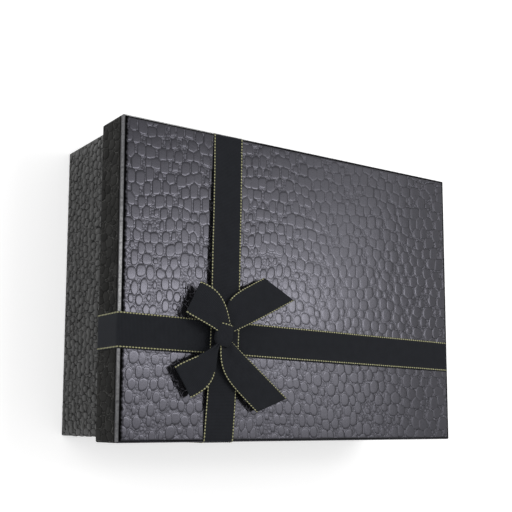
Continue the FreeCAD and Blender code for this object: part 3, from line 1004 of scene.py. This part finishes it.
# evenly spaced copies of a line and of the directions along it
def respaced(line, step, *ways):
    lengths = pathLengths(line)
    even = np.linspace(0, lengths[-1], max(fewestPoints, math.ceil(lengths[-1] / step)))
    made = []
    for values in (line,) + ways:
        made.append(np.stack([np.interp(even, lengths, values[:, axis]) for axis in range(3)], -1))
    return [made[0]] + [unit(values) for values in made[1:]]


ribbonBand = {
    "width": 20.0,
    "thickness": 0.3,
    "float": 0.08,         # over the paper's highest scales
    "tuck": 12.0,          # folded up inside the lid
    "seat": 2.4,           # middle of the tucked end from the lid's side
    "edgeRadius": 2.0,
    "rimRadius": 0.7,
    "crossLift": 2.6,      # slack of the upper ribbon over the lower one
    "crossFlat": 13.0,
    "crossRadius": 40.0,
    "onFace": (4.0, 29.0),     # mm from the lid's side over which the wave and curl grow
    "waves": ((0.14, 13.0, 0.0), (0.07, 5.3, 1.0)),   # height, length and start of each
    "waveRise": 0.2,
    "waveShare": 0.5,
    "step": 1.6,
    "columns": 17,
    "tilt": {"longRibbon": -0.0178, "crossRibbon": 0.0312},   # sideways drift along each ribbon
    "curl": {"longRibbon": 0.7, "crossRibbon": 0.4},         # lift of one edge off the paper
    "goldInset": {"longRibbon": (1.0, 0.5), "crossRibbon": (0.5, 0.5)},   # from each edge
}


# ribbon over the lid: a profile of the lid's outside with rounded corners, carried across the
# ribbon's width, drifting sideways, with a faint wave and one edge curled up a little
def makeBand(name, half, middle, crossing, alongY, crest, nodes):
    k = ribbonBand
    rise = k["thickness"] / 2 + k["float"]
    top = lidTop + rise
    low = lidRim - rise
    side = half + rise
    seat = half - k["seat"]
    ridge = [[spot, top + lift] for spot, lift in crest]
    corners = [[-seat, lidRim + k["tuck"]], [-seat, low], [-side, low], [-side, top]] + ridge
    corners += [[side, top], [side, low], [seat, low], [seat, lidRim + k["tuck"]]]
    ends = [k["rimRadius"], k["rimRadius"], k["edgeRadius"]]
    profile = roundedPath(corners, ends + [k["crossRadius"]] * len(ridge) + ends[::-1], k["step"])
    tangent = unit(np.gradient(profile, axis=0))
    outward = np.stack([-tangent[:, 1], tangent[:, 0]], -1)
    lengths = pathLengths(profile)
    across = np.linspace(-1, 1, k["columns"])
    onFace = ease(half - np.abs(profile[:, 0]), *k["onFace"])[:, None]
    wave = sum(high * np.sin(lengths / long + start) for high, long, start in k["waves"]) + k["waveRise"]
    edges = k["waveShare"] * wave[:, None] * np.abs(across) ** 3
    lift = onFace * (edges + k["curl"][name] * np.maximum(-across, 0) ** 3)
    flat = profile[:, None] + outward[:, None] * lift[..., None]
    drift = k["tilt"][name] * (profile[:, :1] - crossing)
    place = middle + drift + across[None] * k["width"] / 2
    if alongY:
        surface = np.stack([place, flat[..., 0], flat[..., 1]], -1)
        sideWay = np.array([1.0, 0, 0])
        up = np.stack([0 * outward[:, 0], outward[:, 0], outward[:, 1]], -1)
    else:
        surface = np.stack([flat[..., 0], place, flat[..., 1]], -1)
        sideWay = np.array([0, 1.0, 0])
        up = np.stack([outward[:, 0], 0 * outward[:, 0], outward[:, 1]], -1)
    sheet = sheetPatch(surface, k["thickness"])
    cloth = makePiece(name, [sheet], ribbonMaterial, "lid", nodes[:1])
    ways = np.broadcast_to(sideWay, up.shape)
    shares = [inset / k["width"] * (k["columns"] - 1) for inset in k["goldInset"][name]]   # of a column
    pairs = zip(shares, ((0, 1), (-1, -2)))
    lines = [surface[:, a] * (1 - share) + surface[:, b] * share for share, (a, b) in pairs]
    threads = [threadPatch(*respaced(line, goldEdge["step"], ways, up)) for line in lines]
    gold = makePiece(name + "GoldEdges", threads, goldMaterial, "lid", nodes[1:])
    facePanels + ["lidWrapEdge", "lidWrapSkirt"]


makeBand("longRibbon", lidHigh[0], longMiddle, crossMiddle, False, [],
         ["long_ribbon", "long_ribbon_gold_edges"])
crossCrest = [(longMiddle + side * ribbonBand["crossFlat"], ribbonBand["crossLift"]) for side in (-1, 1)]
makeBand("crossRibbon", lidHigh[1], crossMiddle, longMiddle, True, crossCrest,
         ["cross_ribbon", "cross_ribbon_gold_edges"])

# the bow: each wing lies between two edges, each a curve through four points in mm from the
# bow's middle and above the lid, from inside the knot out to the wing's end
bow = {
    "at": (-60.55, -30.2),
    "thickness": 0.3,
    "columns": 25,
    "rows": 60,
    "puff": 0.6,          # rise of a wing's middle where the knot gathers it
    "puffEnd": 0.25,      # share of it that is left at the wing's end
    "pleat": 0.5,         # depth of the gathers there
    "pleatOut": 0.55,     # how far along the wing they go
    "pleats": (1.5, 0.2),   # half waves across, and their shift
    "under": (5.0, 4.9),  # a loop's lower layer above the lid, at the knot and half way out
    "fold": 0.6,          # radius of a loop's end
    "foldRows": 13,
    "flatFrom": 0.8,      # share of a loop's length from which its top levels out into the fold
    "tuckIn": 0.84,       # width of the lower layer
    "tuckFrom": 0.6,
    "bare": {"lowerLoop": (0.5, 0.5), "upperTail": (0.42, 0.0)},   # edges rolled under near the knot
    "upperLoop": (((-4.6, 0.8, 7.0), (-10.65, 4.3, 7.6), (-18.0, 7.7, 7.2), (-25.9, 11.85, 5.8)),
                  ((3.4, 3.5, 7.0), (0.5, 12.7, 8.0), (-5.2, 23.0, 8.2), (-17.4, 29.8, 7.2))),
    "lowerLoop": (((-4.8, -3.0, 7.0), (-14.55, -9.6, 7.6), (-24.2, -14.0, 6.8), (-32.4, -18.35, 5.4)),
                  ((-4.4, -4.5, 7.0), (-7.1, -15.9, 7.7), (-10.2, -26.4, 7.2), (-21.9, -35.35, 5.4))),
    "upperTail": (((2.6, 5.0, 4.8), (1.7, 18.6, 4.8), (11.2, 27.55, 4.6), (28.0, 36.5, 3.8)),
                  ((3.8, 1.8, 4.8), (17.8, 8.1, 4.8), (33.6, 15.95, 4.5), (50.4, 24.5, 3.8))),
    "lowerTail": (((-4.4, -4.0, 6.6), (-1.9, -18.4, 5.4), (6.95, -29.35, 4.4), (23.0, -42.9, 3.6)),
                  ((5.0, -3.2, 5.6), (18.0, -13.6, 5.0), (30.95, -23.65, 4.4), (45.1, -34.6, 3.6))),
}


# cubic through four points at shares 0, a third, two thirds and 1
def throughFour(points, t):
    a, b, c, d = np.asarray(points, float)
    s = 3 * t[:, None]
    return (-a * (s - 1) * (s - 2) * (s - 3) / 6 + b * s * (s - 2) * (s - 3) / 2
            - c * s * (s - 1) * (s - 3) / 2 + d * s * (s - 1) * (s - 2) / 6)


# points of a wing at shares of its length, in rows from its first edge to its last, crowned
# and pleated towards the knot
def wingSurface(edges, t, across, puff):
    mix = ((across + 1) / 2)[None, :, None]
    points = throughFour(edges[0], t)[:, None] * (1 - mix) + throughFour(edges[1], t)[:, None] * mix
    crown = puff * (bow["puffEnd"] + np.clip(1 - t, 0, 1) ** 2)[:, None] * (1 - across ** 2)
    waves, shift = bow["pleats"]
    depth = bow["pleat"] * (1 - ease(t, 0.0, bow["pleatOut"]))
    gather = depth[:, None] * np.cos(waves * math.pi * (across + shift))
    points[..., 2] += lidTop + crown - gather
    points[..., :2] += bow["at"]
    return points


# loop: out along the top layer, round a tight half circle and back along a narrower lower layer,
# whose height is a parabola through three points
def loopSurface(edges, across):
    t = np.linspace(0, 1, bow["rows"])
    tip = wingSurface(edges, np.array([1.0]), across, bow["puff"])[0]
    reach = np.linalg.norm(tip.mean(0)[:2] - bow["at"])
    fold = bow["fold"]
    out = 1 - fold / reach
    top = wingSurface(edges, out * t, across, bow["puff"])
    blend = ease(t, bow["flatFrom"], 1.0)[:, None]
    top[..., 2] = top[..., 2] * (1 - blend) + tip[None, :, 2] * blend
    swing = np.linspace(math.pi / 2, -math.pi / 2, bow["foldRows"])[1:-1]
    turn = wingSurface(edges, out + (1 - out) * np.cos(swing), across, bow["puff"])
    turn[..., 2] = tip[None, :, 2] - fold * (1 - np.sin(swing)[:, None])
    s = t[::-1]
    width = 1 - (1 - bow["tuckIn"]) * (1 - ease(s, bow["tuckFrom"], 1.0))
    lower = wingSurface(edges, out * s, across, 0.0)
    middle = lower.mean(1, keepdims=True)
    lower = middle + (lower - middle) * width[:, None, None]
    near, half = bow["under"]
    far = (tip[:, 2] - 2 * fold - lidTop)[None]
    s = s[:, None]
    lower[..., 2] = lidTop + near * (1 - s) * (1 - 2 * s) + 4 * half * s * (1 - s) + far * s * (2 * s - 1)
    return np.concatenate([top, turn, lower])


# tail: one layer, out to its cut end
def tailSurface(edges, across):
    return wingSurface(edges, np.linspace(0, 1, bow["rows"]), across, bow["puff"])


# gold threads a little inside both edges of a wing's surface, proud of its outer face
def wingThreads(surface, bare):
    face = unit(np.cross(np.gradient(surface, axis=0), np.gradient(surface, axis=1)))
    face *= np.sign(face[0, bow["columns"] // 2, 2])
    threads = []
    for edge, near, share in ((0, 1, bare[0]), (-1, -2, bare[1])):
        side = unit(surface[:, edge] - surface[:, near])
        line = surface[:, edge] - side * goldEdge["inset"]
        shown = slice(round(share * bow["rows"]), None)
        spaced = respaced(line[shown], goldEdge["step"], side[shown], face[shown, edge])
        threads.append(threadPatch(*spaced))
    return threads


# a ribbon of the bow: a sheet for each of its wings, and their gold threads
def makeBowStrip(name, makeWing, wings, nodes):
    surfaces = [makeWing(bow[wing], wingAcross) for wing in wings]
    sheets = [sheetPatch(surface, bow["thickness"]) for surface in surfaces]
    cloth = makePiece(name, sheets, ribbonMaterial, "lid", nodes[:1])
    threads = []
    for wing, surface in zip(wings, surfaces):
        threads += wingThreads(surface, bow["bare"].get(wing, (0.0, 0.0)))
    gold = makePiece(name + "GoldEdges", threads, goldMaterial, "lid", nodes[1:])
    length = sum(pathLengths(surface[:, bow["columns"] // 2])[-1] for surface in surfaces)
    length * millimetre


wingAcross = np.linspace(-1, 1, bow["columns"])
makeBowStrip("bowLoops", loopSurface, ("upperLoop", "lowerLoop"), ["bow_loops", "bow_loop_gold_edges"])
makeBowStrip("bowTails", tailSurface, ("upperTail", "lowerTail"), ["bow_tails", "bow_tail_gold_edges"])

# knot: a ribbon ring round the gathered wings, the oval |x|^p + |z|^p = 1 in section, drawn in at
# its ends and creased along its length
knotBand = {
    "at": (-62.25, -29.9),
    "half": (5.6, 6.6),        # across the ring, and along it
    "low": 83.5,               # over the table
    "high": 89.5,
    "power": 2.4,              # roundness of the oval
    "thickness": 0.4,
    "around": 84,
    "columns": 29,
    "drawIn": (0.45, 0.28),    # share of the width lost at the near and the far end
    "flatten": (0.45, 0.1),    # and of the height
    "creases": ((1.0, 0.3, 0.13), (0.7, -0.42, 0.1)),   # strength, place and half width
    "creaseDepth": 0.03,
    "turn": -11.0,
}


def makeKnot():
    k = knotBand
    angle = np.linspace(0, 2 * math.pi, k["around"], endpoint=False)
    across = np.linspace(-1, 1, k["columns"])
    cosine, sine = np.cos(angle), np.sin(angle)
    bend = 2 / k["power"]
    roundX = (np.sign(cosine) * np.abs(cosine) ** bend)[:, None]
    roundZ = (np.sign(sine) * np.abs(sine) ** bend)[:, None]
    crease = sum(deep * np.exp(-((across - spot) / half) ** 2) for deep, spot, half in k["creases"])
    near, far = np.maximum(-across, 0) ** 3, np.maximum(across, 0) ** 3
    dent = k["creaseDepth"] * crease[None] * (1 + np.cos(2 * angle[:, None]))
    narrow, low = (1 - k[name][0] * near - k[name][1] * far - dent for name in ("drawIn", "flatten"))
    middle = (k["low"] + k["high"]) / 2
    x = k["half"][0] * roundX * narrow
    y = k["half"][1] * across[None] + 0 * x
    z = middle + (k["high"] - k["low"]) / 2 * roundZ * low
    turn = math.radians(k["turn"])
    surface = np.stack([k["at"][0] + x * math.cos(turn) - y * math.sin(turn),
                        k["at"][1] + x * math.sin(turn) + y * math.cos(turn), z], -1)
    around = np.concatenate([surface[-1:], surface, surface[:1]])
    normal = unit(np.cross(np.gradient(surface, axis=1), np.gradient(around, axis=0)[1:-1]))
    offset = normal * k["thickness"] / 2
    shell = [surface + offset, (surface - offset)[:, ::-1]]
    middleLine = surface[:, k["columns"] // 2]
    lengths = pathLengths(np.concatenate([middleLine, middleLine[:1]]))
    widths = (across + 1) * k["half"][1]
    widths = np.concatenate([widths, widths[::-1], widths[:1]])
    uv = np.stack(np.meshgrid(lengths, widths, indexing="ij"), -1)
    ring = patch(np.concatenate(shell, 1), closeRows=True, closeCols=True, uv=uv)
    cloth = makePiece("bowKnot", [ring], ribbonMaterial, "lid", ["bow_knot"])
    threads = []
    for edge, near in ((0, 1), (-1, -2)):
        side = unit(surface[:, edge] - surface[:, near])
        face = normal[:, edge] if edge else -normal[:, edge]   # the near edge is turned under
        parts = [surface[:, edge] - side * goldEdge["inset"], side, face]
        line, sides, ups = (np.concatenate([part, part[:1]]) for part in parts)
        line, sides, ups = respaced(line, goldEdge["step"], sides, ups)
        threads.append(threadPatch(line[:-1], sides[:-1], ups[:-1], closed=True))
    gold = makePiece("bowKnotGoldEdges", threads, goldMaterial, "lid",
                     ["bow_knot_gold_edges"])


makeKnot()

# camera: the photograph's place and direction, found from the box's corners
cameraView = {
    "eye": (-340.9, -78.1, 520.4),
    "yaw": 34.74,
    "pitch": 7.12,
    "roll": 0.16,
    "focal": 910.4,            # in pixels of a square frame this wide
    "frame": 512,
    "shift": 0.1,
    "sensor": 36.0,
    "clip": (0.01, 50.0),
}


# an object's place from its axes and its origin in mm
def setPlace(thing, right, up, back, origin):
    place = np.eye(4)
    place[:3, :3] = np.stack([right, up, back], -1)
    place[:3, 3] = np.array(origin) * millimetre
    thing.matrix_world = place.T.tolist()
    bpy.context.scene.collection.objects.link(thing)


# looks down at the lid, turned by yaw about Y, tipped by pitch and rolled
def makeCamera():
    k = cameraView
    yaw, pitch, roll = (math.radians(k[name]) for name in ("yaw", "pitch", "roll"))
    level = math.cos(pitch)
    forward = np.array([math.sin(yaw) * level, math.sin(pitch), -math.cos(yaw) * level])
    right = unit(np.cross(forward, [0, 1.0, 0]))
    up = np.cross(right, forward)
    data = bpy.data.cameras.new("photoCamera")
    data.sensor_width = k["sensor"]
    data.lens = k["focal"] / k["frame"] * data.sensor_width
    data.shift_y = k["shift"]
    data.clip_start, data.clip_end = k["clip"]
    camera = bpy.data.objects.new("photoCamera", data)
    setPlace(camera, right * math.cos(roll) + up * math.sin(roll),
             up * math.cos(roll) - right * math.sin(roll), -forward, k["eye"])
    bpy.context.scene.camera = camera
    print("camera set")


makeCamera()

# soft boxes: middle and aim in mm, size in m, and how bright each looks
softBoxes = {
    "coreBox": {"at": (338, 86, 817), "aim": (-50, -10, 80), "size": (0.4, 0.1), "bright": 4.9},
    "keyBox": {"at": (385, 76, 788), "aim": (-50, -10, 80), "size": (0.46, 0.31), "bright": 1.25},
    "wideBox": {"at": (385, 90, 790), "aim": (-50, -10, 80), "size": (0.54, 0.48), "bright": 0.95},
    "sideBox": {"at": (-950, 480, 330), "aim": (-120, 0, 60), "size": (0.4, 0.8), "bright": 3.6},
}


# each faces its aim, and its power is brightness times pi times area
def makeLights():
    for name, k in softBoxes.items():
        data = bpy.data.lights.new(name, "AREA")
        data.shape = "RECTANGLE"
        data.size, data.size_y = k["size"]
        data.energy = k["bright"] * math.pi * data.size * data.size_y
        back = unit(np.array(k["at"], float) - np.array(k["aim"], float))
        side = unit(np.cross([0, 1.0, 0], back))
        setPlace(bpy.data.objects.new(name, data), side, np.cross(back, side), back, k["at"])
    print("soft boxes made:", len(softBoxes))


makeLights()

# pale floor and surround: what the camera and reflections see is a little brighter than what
# lights the box
stage = {"floorHalf": 12.0, "floorWhite": 0.8, "floorLift": 0.5, "worldLight": 0.6}


# 1 for rays from the camera, off gloss or through glass, 0 for light on its way to the box
def seenDirectly(b):
    rays = b.tree.nodes.new("ShaderNodeLightPath")
    names = ("Is Camera Ray", "Is Glossy Ray", "Is Transmission Ray")
    camera, glossy, through = (Wire(b, rays.outputs[name]) for name in names)
    return camera.most(glossy).most(through)


def makeStage():
    b = newBench("paleFloor")
    diffuse = b.add("ShaderNodeBsdfDiffuse", None, {"Color": grey(stage["floorWhite"])})
    lift = seenDirectly(b) * stage["floorLift"]
    glow = b.add("ShaderNodeEmission", None, {"Color": grey(1.0), "Strength": lift})
    both = b.add("ShaderNodeAddShader", None, {0: diffuse, 1: glow})
    b.add("ShaderNodeOutputMaterial", None, {"Surface": both})
    half = stage["floorHalf"]
    mesh = bpy.data.meshes.new("paleFloor")
    corners = [(-half, -half, 0), (half, -half, 0), (half, half, 0), (-half, half, 0)]
    mesh.from_pydata(corners, [], [(0, 1, 2, 3)])
    mesh.materials.append(b.owner)
    floor = bpy.data.objects.new("paleFloor", mesh)
    bpy.context.scene.collection.objects.link(floor)
    world = bpy.data.worlds.new("paleSurround")
    bpy.context.scene.world = world
    w = Bench(world)
    level = stage["worldLight"] + seenDirectly(w) * (1 - stage["worldLight"])
    sky = w.add("ShaderNodeBackground", None, {"Color": grey(1.0), "Strength": level})
    w.add("ShaderNodeOutputWorld", None, {"Surface": sky})
    print("floor and surround made")


makeStage()
bpy.context.scene.view_settings.view_transform = "Standard"
